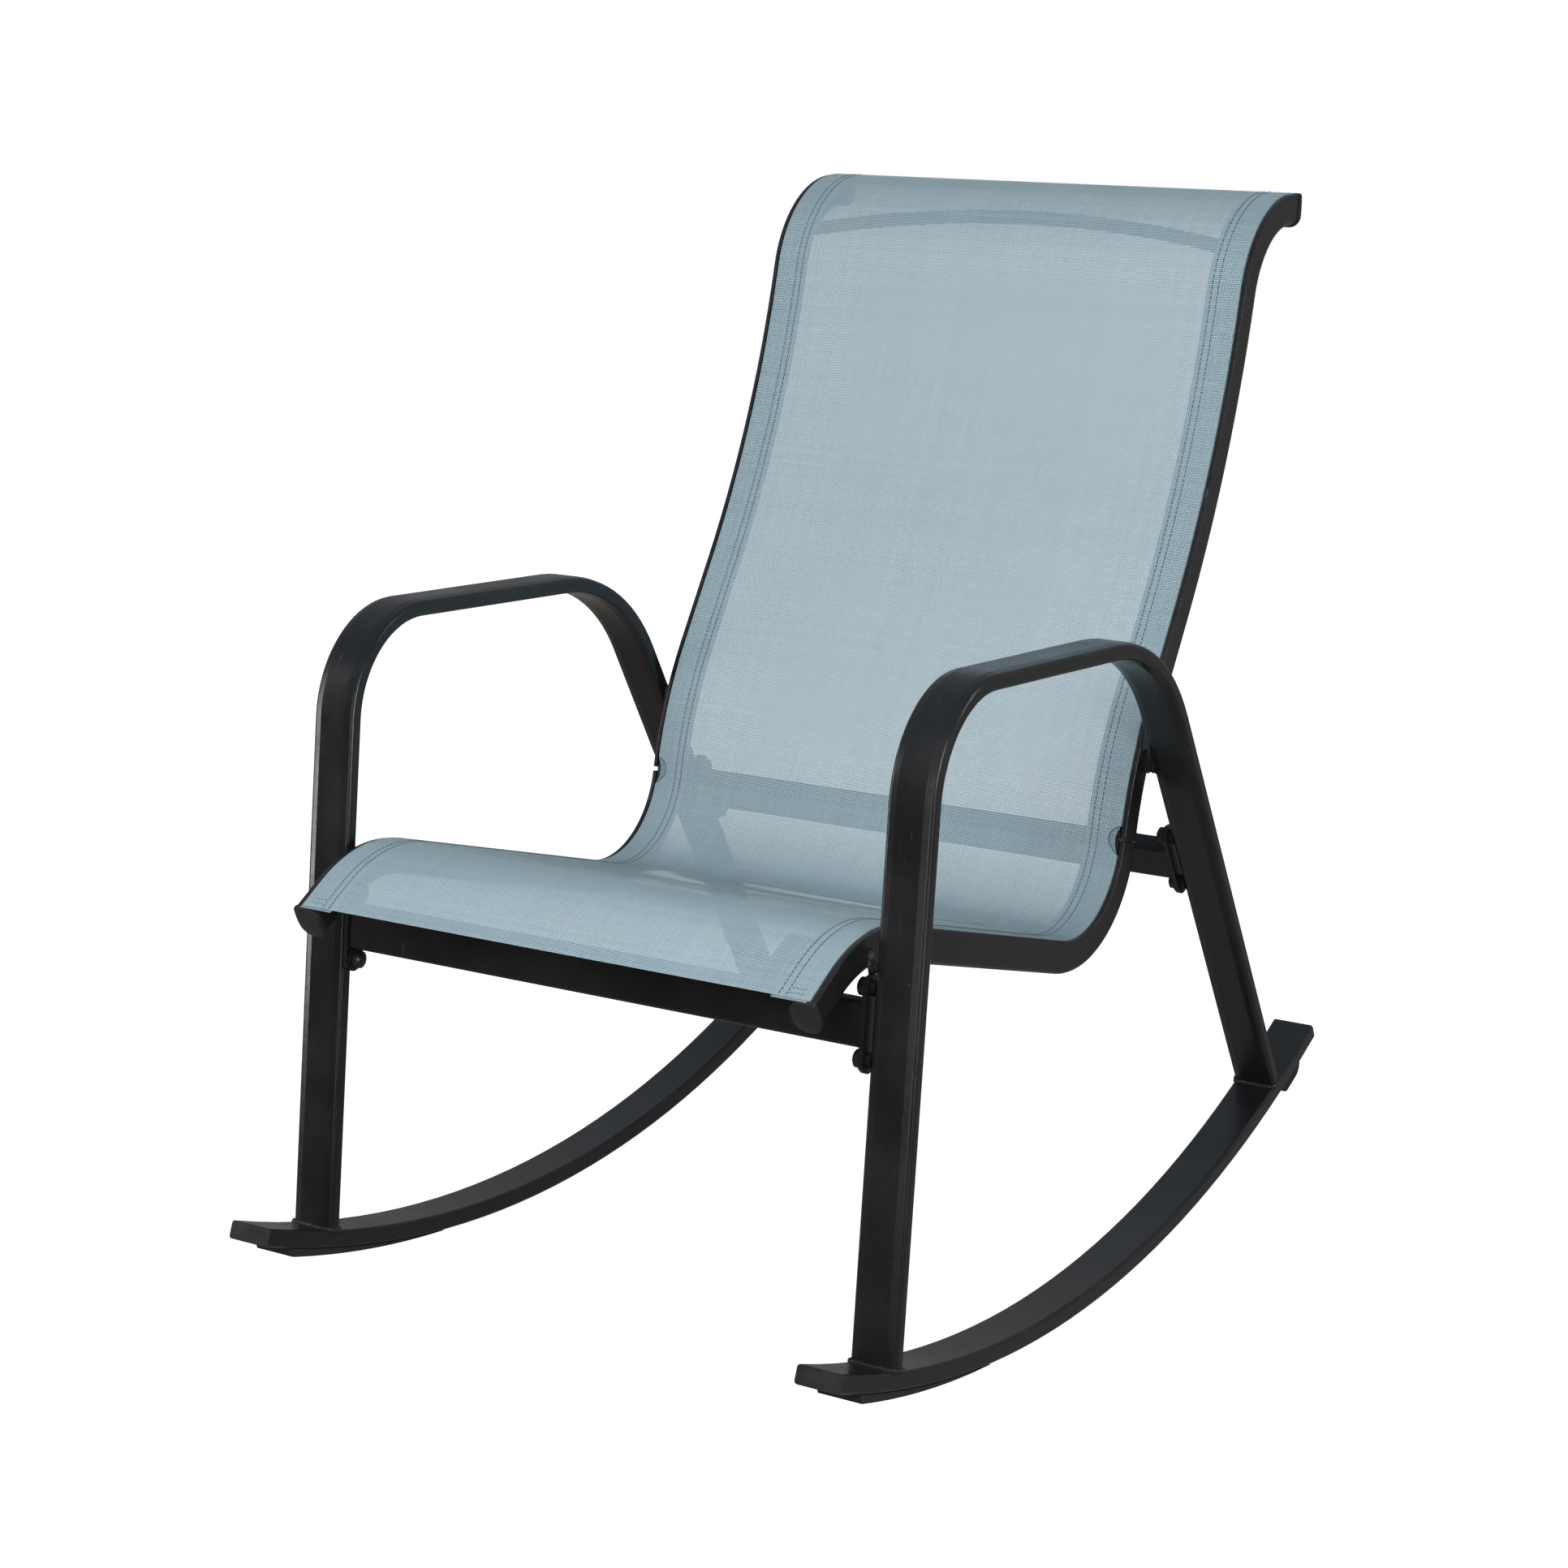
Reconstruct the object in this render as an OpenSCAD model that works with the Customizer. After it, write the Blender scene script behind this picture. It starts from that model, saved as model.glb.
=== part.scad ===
// Rocking chair with a mesh sling seat, bent flat-tube arms and arc rockers.
// Millimetres, +Z up, the sitter faces -Y, left is +X.
// Origin: on the floor, in the middle of the chair's footprint.

/* [Overall] */
// outer width over the two arm frames
over_w = 608; // [560:1:680]
// lean of the whole chair from its drawing pose to its balanced pose, degrees
rest_lean = -1.733; // [-6:0.1:8]
// shift along Y that puts the origin in the middle of the footprint
y_shift = -8.32; // [-60:0.1:60]

/* [Flat tube] */
// width of the flat tube of arms and rockers
tube_w = 42; // [36:0.5:50]
// thickness of that tube
tube_t = 16; // [14:0.5:22]
// corner radius of the arm tube
tube_r = 4.2; // [3:0.1:6]
// corner radius of the rocker tube
rocker_r = 3; // [2:0.1:5]

/* [Arm frame] */
// front leg lean from the vertical, degrees
leg_lean = 6.76; // [0:0.01:12]
// front leg, distance of its centre line in front of the middle at floor level
leg_y0 = 353; // [330:0.5:380]
// centre-line radius of the front bend
bend_front = 92; // [70:1:120]
// arm slope, falling to the rear, degrees
arm_slope = 4.3; // [0:0.1:8]
// centre-line radius of the rear bend
bend_rear = 170; // [120:1:200]
// rear leg lean from the vertical, degrees
rear_lean = 30.1; // [20:0.1:36]
// straight length of the arm between the bends
arm_len = 218.7; // [180:0.1:260]

/* [Rocker] */
// radius of the rocker's underside
rock_R = 1171; // [1000:1:1400]
// front end of the rocker, degrees before the lowest point
rock_front = 21.8; // [18:0.1:25]
// rear end of the rocker, degrees behind the lowest point
rock_rear = 24.5; // [20:0.1:28]
// greatest thickness of the front pad
pad_t = 8; // [4:0.5:10]
// height of the rear stop
stop_h = 16; // [10:0.5:20]

/* [Sling rails] */
// width of the rail section, across the chair
rail_w = 22; // [20:0.5:30]
// depth of the rail section
rail_d = 30; // [26:0.5:34]
// corner radius of the rail section
rail_r = 9.5; // [8:0.5:10.5]
// clear gap between rail and leg
rail_gap = 8.5; // [4:0.5:12]
// radius of the groove that holds the spline
groove_r = 2.9; // [2.4:0.1:3.4]
// half thickness of the spline strip
spline_a = 1.9; // [1.5:0.1:2]

/* [Crossbars] */
// height of the crossbar section
bar_h = 38; // [30:1:46]
// thickness of the crossbar section
bar_t = 19; // [14:1:24]
// height of the crossbars on the legs
bar_z = 339.5; // [310:1:360]
// half distance between the two bolts of a plate
bolt_half = 29; // [24:0.5:34]
// thickness of an end plate
plate_t = 4; // [3:0.5:6]
// length of the nubs that hold a plate off the leg
nub_t = 4; // [2:0.5:5]

/* [Spreader] */
// tube radius of the top spreader
spread_r = 6.5; // [5:0.5:9]
// rise of the spreader's arch
spread_rise = 28; // [10:1:40]

/* [Sling] */
// thickness of the sling solid
sling_t = 1.2; // [0.8:0.1:2]
// radius of the half-round notch in the sling's edge
notch_r = 9; // [6:0.5:12]

/* [Hidden] */
$fn = 72;
steel = [0.075, 0.078, 0.08];
plastic = [0.06, 0.06, 0.062];
rubber = [0.05, 0.05, 0.05];
cloth = [0.50, 0.63, 0.69];
half_w = over_w / 2;
leg_x = half_w - tube_w / 2;
leg_in = half_w - tube_w;
rail_x = leg_in - rail_gap - rail_w / 2;
rail_out = rail_x + rail_w / 2;
zc = rock_R;
// a straight piece runs a little into its neighbours, and is a hair fuller there, so that they join cleanly
lap = 1;
hair = 0.03;
$g = 0;
rock_top = rock_R - tube_t;
arm_turn = 90 + arm_slope - leg_lean;
rear_turn = 180 - rear_lean - 90 - arm_slope;
// arm frame, from the floor end of the front leg: [radius, turn] or [0, length]
leg_start_z = 30;
leg_run = 488.6;
rear_run = 520;
arm_path = [[0, leg_run], [bend_front, arm_turn], [0, arm_len], [bend_rear, rear_turn], [0, rear_run]];
// sling rail, from the front cap to the top cap
rail_y0 = -383.2;
rail_z0 = 364.8;
rail_a0 = 60.5;
rail_path = [[0, 31], [121, 46.5], [0, 307], [101.3, -94.5], [0, 0.5], [333, 0.52], [0, 0.5],
  [333, 20.6], [0, 90], [958, -18.5], [0, 0.5], [94.4, 81]];
rail_end = 12;
// centre of the spline groove, and the square lip that covers it at the rail's front outer corner
groove_x = rail_w / 2 - 5.2;
groove_y = rail_d / 2 - 5.5;
lip_w = 12.5;
// inner face of the end plates
plate_in = leg_in - nub_t - plate_t;
front_bar_y = -leg_y0 + tan(leg_lean) * bar_z;
rear_bar_y = 446.2 - tan(rear_lean) * bar_z;

// rounded rectangle, w across x, t across y, corner radius r
function arc_pts(cx, cy, r, a0, a1, n) = [for (i = [0:n]) let (a = a0 + (a1 - a0) * i / n)
  [cx + r * cos(a), cy + r * sin(a)]];
function rr(w, t, r, n = 6) = concat(
  arc_pts(w / 2 - r, t / 2 - r, r, 0, 90, n), arc_pts(r - w / 2, t / 2 - r, r, 90, 180, n),
  arc_pts(r - w / 2, r - t / 2, r, 180, 270, n), arc_pts(w / 2 - r, r - t / 2, r, 270, 360, n));
// flat tube with a soft shoulder beside each broad face
function shoulder(w, t, r, sx, sy) = let (p = concat([[w / 2 - 8.5, t / 2]],
  [for (i = [0:6]) let (a = 78 - 78 * i / 6) [w / 2 - r + r * cos(a), t / 2 - 1 - r + r * sin(a)]]))
  [for (q = p) [sx * q[0], sy * q[1]]];
function rev(v) = [for (i = [len(v) - 1:-1:0]) v[i]];
function tube_pts(w, t, r) = concat(shoulder(w, t, r, 1, 1), rev(shoulder(w, t, r, 1, -1)),
  shoulder(w, t, r, -1, -1), rev(shoulder(w, t, r, -1, 1)));

module arm_section() polygon(tube_pts(tube_w + 2 * $g, tube_t + 2 * $g, tube_r + $g));
module rocker_section() polygon(rr(tube_w, tube_t, rocker_r));
module rail_section() difference() {
  union() {
    polygon(rr(rail_w + 2 * $g, rail_d + 2 * $g, rail_r + $g));
    translate([(rail_w - lip_w) / 2, (lip_w - rail_d) / 2]) polygon(rr(lip_w + 2 * $g, lip_w + 2 * $g, 1.5 + $g));
  }
  translate([groove_x, -groove_y]) {
    circle(r = groove_r - $g, $fn = 32);
    translate([-1.1 + $g, -8]) square([2.2 - 2 * $g, 8]);
  }
}
module joiner_section() polygon(rr(rail_w - 5, rail_d - 5, rail_r - 2));

// one piece of a path: straight when the radius is 0, else a bend towards +y (turn > 0) or -y
module piece(s) {
  if (s[0] == 0) translate([0, 0, -lap]) linear_extrude(height = s[1] + 2 * lap) let ($g = hair) children();
  else if (s[1] > 0) translate([0, s[0], 0]) rotate([90, 0, -90])
    rotate_extrude(angle = s[1], $fn = 360) translate([s[0], 0]) rotate(-90) mirror([0, 1]) children();
  else mirror([0, 1, 0]) translate([0, s[0], 0]) rotate([90, 0, -90])
    rotate_extrude(angle = -s[1], $fn = 360) translate([s[0], 0]) rotate(-90) children();
}
module step_on(s) {
  if (s[0] == 0) translate([0, 0, s[1]]) children();
  else if (s[1] > 0) translate([0, s[0] * (1 - cos(s[1])), s[0] * sin(s[1])]) rotate([-s[1], 0, 0]) children();
  else translate([0, -s[0] * (1 - cos(s[1])), -s[0] * sin(s[1])]) rotate([-s[1], 0, 0]) children();
}
// draws pieces a..b of a path
module run(path, a, b, i = 0) {
  if (i < len(path)) {
    if (i >= a && i <= b) piece(path[i]) children();
    if (i < b) step_on(path[i]) run(path, a, b, i + 1) children();
  }
}
// places children at the start of piece k
module at_piece(path, k, i = 0) {
  if (i == k) children();
  else step_on(path[i]) at_piece(path, k, i + 1) children();
}

// outline of a path in its own plane, o millimetres to its +y side, at 3 degree steps
function nrm(th) = [cos(th), -sin(th)];
function spot(s, p, th, k, m) = s[0] == 0 ? p + s[1] * k / m * [sin(th), cos(th)]
  : p + sign(s[1]) * s[0] * (nrm(th) - nrm(th + s[1] * k / m));
function trace(path, o, p = [0, 0], th = 0, i = 0) = i >= len(path) ? [p + o * nrm(th)]
  : let (s = path[i], turn = s[0] == 0 ? 0 : s[1], m = max(1, ceil(abs(turn) / 3)))
  concat([for (k = [0:m - 1]) spot(s, p, th, k, m) + o * nrm(th + turn * k / m)],
  trace(path, o, spot(s, p, th, m, m), th + turn, i + 1));
// strip along the rail path between offsets o0 and o1, from x0 to x1
module strip(o0, o1, x0, x1) translate([x0, 0, 0]) rotate([90, 0, 90]) linear_extrude(height = x1 - x0)
  polygon(concat(trace(rail_path, o0), rev(trace(rail_path, o1))));

// whole chair: drawing pose to balanced pose
module posed() translate([0, y_shift, zc]) rotate([rest_lean, 0, 0]) translate([0, 0, -zc]) children();
module side(s) mirror([s < 0 ? 1 : 0, 0, 0]) children();
module arm_start() translate([leg_x, -leg_y0 + tan(leg_lean) * leg_start_z, leg_start_z])
  rotate([-leg_lean, 0, 0]) children();
module rail_start(x = rail_x) translate([x, rail_y0, rail_z0]) rotate([-rail_a0, 0, 0]) children();
// frame of a crossbar's end: z runs along the leg, y across it
module front_bar_frame() translate([0, front_bar_y, bar_z]) rotate([-leg_lean, 0, 0]) children();
module rear_bar_frame() translate([0, rear_bar_y, bar_z]) rotate([rear_lean, 0, 0]) children();
module rod_x(r, x0, x1, f = 48) translate([x0, 0, 0]) rotate([0, 90, 0]) cylinder(r = r, h = x1 - x0, $fn = f);
module bolt_spots() for (s = [-1, 1]) translate([0, 0, s * bolt_half]) children();

module arm_frame() difference() {
  intersection() {
    arm_start() run(arm_path, 0, 4) arm_section();
    translate([leg_x - 40, 0, zc]) rotate([0, 90, 0]) cylinder(r = rock_top, h = 80, $fn = 720);
  }
  front_bar_frame() bolt_spots() rod_x(3, leg_in - 1, leg_in + 10, 24);
  rear_bar_frame() bolt_spots() rod_x(3, leg_in - 1, leg_in + 10, 24);
}
module rocker() translate([leg_x, 0, zc]) rotate([90, 0, 90]) rotate([0, 0, -90 - rock_front])
  rotate_extrude(angle = rock_front + rock_rear, $fn = 720) translate([rock_R - tube_t / 2, 0])
  rotate(90) rocker_section();
// end plate of a rocker at angle a, thickness outwards in direction d
module rocker_cap(a, d) translate([leg_x, 0, zc]) rotate([a, 0, 0]) translate([0, 0, tube_t / 2 - rock_R])
  rotate([d > 0 ? -90 : 90, 0, 0]) linear_extrude(height = 1.6) polygon(rr(tube_w, tube_t, rocker_r));
module front_pad() difference() {
  intersection() {
    translate([leg_x, 0, zc]) rotate([90, 0, 90]) rotate([0, 0, -90 - 20.1])
      rotate_extrude(angle = 11.1, $fn = 720) translate([rock_R, -tube_w / 2 + 1]) square([pad_t, tube_w - 2]);
    translate([leg_x - 40, -40, zc]) rotate([0, 90, 0]) cylinder(r = 1157.2 + pad_t, h = 80, $fn = 720);
  }
  translate([leg_x, 0, zc]) rotate([-20.1, 0, 0]) translate([-30, 0, -rock_R - 3])
    rotate([38, 0, 0]) translate([0, -20, -20]) cube([60, 20, 40]);
}
module rear_stop() translate([leg_x, 0, zc]) rotate([22.1, 0, 0]) translate([0, 0, -rock_R])
  rotate([90, 0, 90]) translate([0, 0, -16]) linear_extrude(height = 32) polygon(concat(
    [[22, 1], [-22, 1]], arc_pts(-12, 10 - stop_h, 10, 180, 270, 6), arc_pts(8, 14 - stop_h, 14, 270, 360, 8)));
module rail_cap(d) intersection() {
  linear_extrude(height = 7) union() {
    polygon(rr(rail_w + 2, rail_d + 2, rail_r + 1));
    translate([(rail_w - lip_w) / 2, d * (lip_w - rail_d) / 2]) polygon(rr(lip_w + 2, lip_w + 2, 2.5));
  }
  translate([0, 0, -58]) sphere(r = 64, $fn = 120);
}
module plate_shape() difference() {
  union() {
    translate([plate_in, -11, -bolt_half]) cube([plate_t, 22, 2 * bolt_half]);
    bolt_spots() rod_x(11, plate_in, plate_in + plate_t);
    bolt_spots() rod_x(6.5, plate_in + 1, leg_in);
  }
  bolt_spots() rod_x(3, plate_in - 1, leg_in + 1, 24);
}
module bolt_set() bolt_spots() {
  rod_x(3, plate_in - 2.1, leg_in + 9, 24);
  intersection() {
    rod_x(7.5, plate_in - 10, plate_in - 2);
    translate([plate_in + 1, 0, 0]) sphere(r = 11, $fn = 64);
  }
}
module washer_set() bolt_spots() difference() {
  rod_x(9.5, plate_in - 2, plate_in);
  rod_x(3, plate_in - 3, plate_in + 1, 24);
}
module bar_section() polygon(rr(bar_h, bar_t, 4));
module bar() rotate([0, 90, 0]) translate([0, 0, -plate_in]) linear_extrude(height = 2 * plate_in) bar_section();
// weld fillets before and behind a leg's foot, in the frame where y = 0, z = 0 is the leg's foot centre
module foot_fillet(y0, lean, dir) translate([leg_x - 19, y0, 0]) rotate([90, 0, 90])
  linear_extrude(height = 38) polygon([[0, -1], [dir * 4.5, -0.6], [dir * 2.4, 2.0], [dir * lean, 4.6]]);
module weld_lump(x0, x1) for (k = [-1:1]) translate([0, 0.6 * k, 7 * k]) rod_x(5 + 0.6 * (1 - abs(k)), x0, x1, 24);

module arm_frame_left() color(steel) posed() arm_frame();
module arm_frame_right() color(steel) posed() side(-1) arm_frame();
module rocker_left() color(steel) posed() rocker();
module rocker_right() color(steel) posed() side(-1) rocker();
module rocker_cap_front_left() color(steel) posed() rocker_cap(-rock_front, -1);
module rocker_cap_front_right() color(steel) posed() side(-1) rocker_cap(-rock_front, -1);
module rocker_cap_rear_left() color(steel) posed() rocker_cap(rock_rear, 1);
module rocker_cap_rear_right() color(steel) posed() side(-1) rocker_cap(rock_rear, 1);
module front_pad_left() color(rubber) posed() front_pad();
module front_pad_right() color(rubber) posed() side(-1) front_pad();
module rear_stop_left() color(rubber) posed() rear_stop();
module rear_stop_right() color(rubber) posed() side(-1) rear_stop();
module seat_rail_left() color(steel) posed() rail_start() run(rail_path, 0, 3) rail_section();
module seat_rail_right() color(steel) posed() side(-1) rail_start() run(rail_path, 0, 3) rail_section();
module back_rail_left() color(steel) posed() rail_start() run(rail_path, 7, 11) rail_section();
module back_rail_right() color(steel) posed() side(-1) rail_start() run(rail_path, 7, 11) rail_section();
module joiner() at_piece(rail_path, 4) rotate([-0.26, 0, 0]) translate([0, 0, 0.2])
  linear_extrude(height = 3.6) joiner_section();
module rail_joiner_left() color(plastic) posed() rail_start() joiner();
module rail_joiner_right() color(plastic) posed() side(-1) rail_start() joiner();
module seat_rail_cap_left() color(plastic) posed() rail_start() translate([0, 0, -lap]) rotate([180, 0, 0]) rail_cap(-1);
module seat_rail_cap_right() color(plastic) posed() side(-1) rail_start() translate([0, 0, -lap]) rotate([180, 0, 0]) rail_cap(-1);
module back_rail_cap_left() color(plastic) posed() rail_start() at_piece(rail_path, rail_end) rail_cap(1);
module back_rail_cap_right() color(plastic) posed() side(-1) rail_start() at_piece(rail_path, rail_end) rail_cap(1);
module spline() strip(-groove_y - spline_a, spline_a - groove_y, groove_x - spline_a, groove_x + spline_a);
module spline_left() color(cloth) posed() rail_start() spline();
module spline_right() color(cloth) posed() side(-1) rail_start() spline();
module front_bar() color(steel) posed() front_bar_frame() bar();
module rear_bar() color(steel) posed() rear_bar_frame() bar();
module front_plate_left() color(steel) posed() front_bar_frame() plate_shape();
module front_plate_right() color(steel) posed() side(-1) front_bar_frame() plate_shape();
module rear_plate_left() color(steel) posed() rear_bar_frame() plate_shape();
module rear_plate_right() color(steel) posed() side(-1) rear_bar_frame() plate_shape();
module both_bars() { front_bar_frame() children(); rear_bar_frame() children(); }
module plate_bolts_left() color(steel) posed() both_bars() bolt_set();
module plate_bolts_right() color(steel) posed() side(-1) both_bars() bolt_set();
module plate_washers_left() color(steel) posed() both_bars() washer_set();
module plate_washers_right() color(steel) posed() side(-1) both_bars() washer_set();
module top_spreader() color(steel) posed() rail_start(0) at_piece(rail_path, 11) {
  half = rail_x - rail_w / 2;
  R = (half * half + spread_rise * spread_rise) / (2 * spread_rise);
  a = asin(half / R);
  // the arch stands on the rails where the top curl has turned by 25 degrees
  translate([0, 94.4 * (1 - cos(25)), 94.4 * sin(25)]) rotate([-25 - 5, 0, 0])
    translate([0, 0, spread_rise - R]) rotate([90, 0, 0]) rotate([0, 0, 90 - a])
    rotate_extrude(angle = 2 * a, $fn = 720) translate([R, 0]) circle(r = spread_r, $fn = 32);
}
module foot_welds() {
  translate([0, -leg_y0 + tan(leg_lean) * 69 - tube_t / 2 - 0.2, 67.2]) rotate([-17, 0, 0]) foot_fillet(0, 1.2, -1);
  translate([0, -leg_y0 + tan(leg_lean) * 65 + tube_t / 2 + 0.2, 62.4]) rotate([-17, 0, 0]) foot_fillet(0, 1.6, 1);
}
module foot_welds_left() color(steel) posed() foot_welds();
module foot_welds_right() color(steel) posed() side(-1) foot_welds();
module rail_welds() {
  translate([0, -305.9, 390.5]) rotate([-leg_lean, 0, 0]) weld_lump(rail_out - 0.4, leg_in + 0.2);
  translate([0, 187, 445]) rotate([4, 0, 0]) weld_lump(rail_out - 0.4, leg_in + 0.2);
}
module rail_welds_left() color(steel) posed() rail_welds();
module rail_welds_right() color(steel) posed() side(-1) rail_welds();
// sling: a flat sheet over the rails' front, its edges turned down to the spline grooves
module sling() color(cloth) posed() rail_start(0) difference() {
  edge = rail_x + groove_x + sling_t / 2;
  union() {
    strip(-rail_d / 2 - 0.3 - sling_t, -rail_d / 2 - 0.3, -edge, edge);
    for (x = [-edge, edge - sling_t]) strip(-rail_d / 2 - 1, -rail_d / 2 + 2, x, x + sling_t);
  }
  for (s = [-1, 1]) at_piece(rail_path, 5) translate([s * (edge + 1), 0, 0])
    rotate([90, 0, 0]) cylinder(r = notch_r, h = 30, $fn = 40);
}

arm_frame_left();
arm_frame_right();
rocker_left();
rocker_right();
rocker_cap_front_left();
rocker_cap_front_right();
rocker_cap_rear_left();
rocker_cap_rear_right();
front_pad_left();
front_pad_right();
rear_stop_left();
rear_stop_right();
seat_rail_left();
seat_rail_right();
back_rail_left();
back_rail_right();
rail_joiner_left();
rail_joiner_right();
seat_rail_cap_left();
seat_rail_cap_right();
back_rail_cap_left();
back_rail_cap_right();
spline_left();
spline_right();
front_bar();
rear_bar();
front_plate_left();
front_plate_right();
rear_plate_left();
rear_plate_right();
plate_bolts_left();
plate_bolts_right();
plate_washers_left();
plate_washers_right();
top_spreader();
foot_welds_left();
foot_welds_right();
rail_welds_left();
rail_welds_right();
sling();
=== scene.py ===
"""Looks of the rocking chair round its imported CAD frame.

Camera, materials, the mesh sling with its hems, seams and notch rims, the weld beads, and a white studio.
Lengths are in millimetres in the CAD's drawing pose, but those of the camera, the studio, the textures and
finished points are in metres.
"""
import math

import bpy
from mathutils import Matrix, Vector, noise


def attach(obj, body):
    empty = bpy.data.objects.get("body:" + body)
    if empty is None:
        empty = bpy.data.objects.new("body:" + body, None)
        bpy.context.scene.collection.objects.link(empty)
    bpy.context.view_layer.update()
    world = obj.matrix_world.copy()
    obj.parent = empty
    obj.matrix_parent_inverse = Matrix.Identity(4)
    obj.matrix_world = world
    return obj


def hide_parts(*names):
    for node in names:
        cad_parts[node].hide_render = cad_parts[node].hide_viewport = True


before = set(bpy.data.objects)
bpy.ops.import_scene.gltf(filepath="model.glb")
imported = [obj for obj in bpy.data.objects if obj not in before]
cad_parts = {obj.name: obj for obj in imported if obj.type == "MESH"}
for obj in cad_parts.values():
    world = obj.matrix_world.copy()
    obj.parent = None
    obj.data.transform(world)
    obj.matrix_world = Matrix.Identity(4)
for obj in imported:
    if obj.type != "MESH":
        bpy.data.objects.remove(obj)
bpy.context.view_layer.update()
scene = bpy.context.scene

# the drawing pose of the CAD, rolled on its rockers into the pose in which it balances
LEAN = math.radians(-1.733)
SHIFT = -0.00832                              # metres
ROCK_R = 1171.0                               # radius of the rockers' underside
PIVOT = Vector((0, 0, ROCK_R / 1000))
POSE = (Matrix.Translation((0, SHIFT, 0)) @ Matrix.Translation(PIVOT)
        @ Matrix.Rotation(LEAN, 4, "X") @ Matrix.Translation(-PIVOT))

# centre line of a side rail in the CAD: first point y, z and angle from the vertical, then (0, length) for a
# straight and (radius, degrees) for a bend, from the front curl to the top curl
RAIL_START = (-383.2, 364.8, 60.5)
RAIL_PATH = [(0, 31), (121, 46.5), (0, 307), (101.3, -94.5), (0, 0.5), (333, 0.52), (0, 0.5),
             (333, 20.6), (0, 90), (958, -18.5), (0, 0.5), (94.4, 81)]
SEAT_RAIL_PARTS = 5                           # parts of the path that belong to the seat rail
RAIL_OUT, RAIL_HALF = 253.5, 15.0             # outer side in x, and half its depth
LEG_X, LEG_IN = 283.0, 262.0                  # a leg's middle and its inner side in x
TUBE_W, TUBE_T = 42.0, 16.0                   # the flat tube of arms, legs and rockers
LEG_Y0, LEG_LEAN = 353.0, 6.76                # front leg: y of its foot point, and degrees from the vertical
REAR_Y0, REAR_LEAN = 446.2, 30.1              # rear leg
SIDES = (("left", 1), ("right", -1))          # the sitter's left is +x


def posed(x, y, z):
    """Point of the drawing pose, in millimetres, to its place in metres."""
    return POSE @ Vector((x / 1000, y / 1000, z / 1000))


# ---------------------------------------------------------------- camera
AZIMUTH, ELEVATION = 0.55, 0.25               # radians
CAMERA_AT = (1.4957, -2.4627, 1.1666)
cam_data = bpy.data.cameras.new("camera")
cam_data.lens = 76.53
cam_data.sensor_width = 36
cam_data.clip_end = 50
cam = bpy.data.objects.new("camera", cam_data)
scene.collection.objects.link(cam)
forward = Vector((-math.sin(AZIMUTH) * math.cos(ELEVATION), math.cos(AZIMUTH) * math.cos(ELEVATION),
                  -math.sin(ELEVATION)))
right = Vector((math.cos(AZIMUTH), math.sin(AZIMUTH), 0))
up = right.cross(forward)
cam_frame = Matrix((right, up, -forward)).transposed().to_4x4()
cam_frame.translation = Vector(CAMERA_AT)
# the view was fitted in the drawing pose, so it turns with the chair
cam.matrix_world = POSE @ cam_frame
scene.camera = cam
scene.view_settings.view_transform = "Standard"


# ---------------------------------------------------------------- node helpers
def put(tree, kind, props=None, ins=None):
    """Adds a node; ins maps an input to a value or to another node's socket."""
    node = tree.nodes.new(kind)
    for key, value in (props or {}).items():
        setattr(node, key, value)
    for key, value in (ins or {}).items():
        if isinstance(value, bpy.types.NodeSocket):
            tree.links.new(value, node.inputs[key])
        else:
            node.inputs[key].default_value = value
    return node


def calc(tree, op, *values):
    return put(tree, "ShaderNodeMath", {"operation": op}, dict(enumerate(values))).outputs[0]


def vec_calc(tree, op, ins):
    return put(tree, "ShaderNodeVectorMath", {"operation": op}, ins)


def split(tree, vec):
    return put(tree, "ShaderNodeSeparateXYZ", None, {0: vec}).outputs


def remap(tree, value, start, end, low=0.0, high=1.0):
    """Smooth step from low to high as value goes from start to end."""
    return put(tree, "ShaderNodeMapRange", {"interpolation_type": "SMOOTHSTEP"},
               {0: value, 1: start, 2: end, 3: low, 4: high}).outputs[0]


def mix_colour(tree, share, a, b):
    return put(tree, "ShaderNodeMix", {"data_type": "RGBA"}, {0: share, 6: a, 7: b}).outputs[2]


def mix_value(tree, share, a, b):
    return put(tree, "ShaderNodeMix", {"data_type": "FLOAT"}, {0: share, 2: a, 3: b}).outputs[0]


def noise_tex(tree, vec, scale, detail=2.0, rough=0.5):
    return put(tree, "ShaderNodeTexNoise", None,
               {"Vector": vec, "Scale": scale, "Detail": detail, "Roughness": rough}).outputs[0]


def object_coords(tree):
    return put(tree, "ShaderNodeTexCoord").outputs["Object"]


def set_bump(tree, bsdf, height, strength, distance=0.0003):
    """Bump from a height; distance is its depth in metres."""
    bump = put(tree, "ShaderNodeBump", None, {"Strength": strength, "Distance": distance, "Height": height})
    tree.links.new(bump.outputs[0], bsdf.inputs["Normal"])


def rgba(colour, tint=1.0):
    return (*(c * tint for c in colour), 1)


def new_mat(name):
    mat = bpy.data.materials.new(name)
    mat.use_nodes = True
    return mat, mat.node_tree, mat.node_tree.nodes["Principled BSDF"]


# ---------------------------------------------------------------- materials
DUST, SCUFF = (0.16, 0.16, 0.155), (0.10, 0.10, 0.10)
SCUFF_STRETCH = (420.0, 60.0, 34.0)           # scuffs are long in y and z and thin in x


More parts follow.
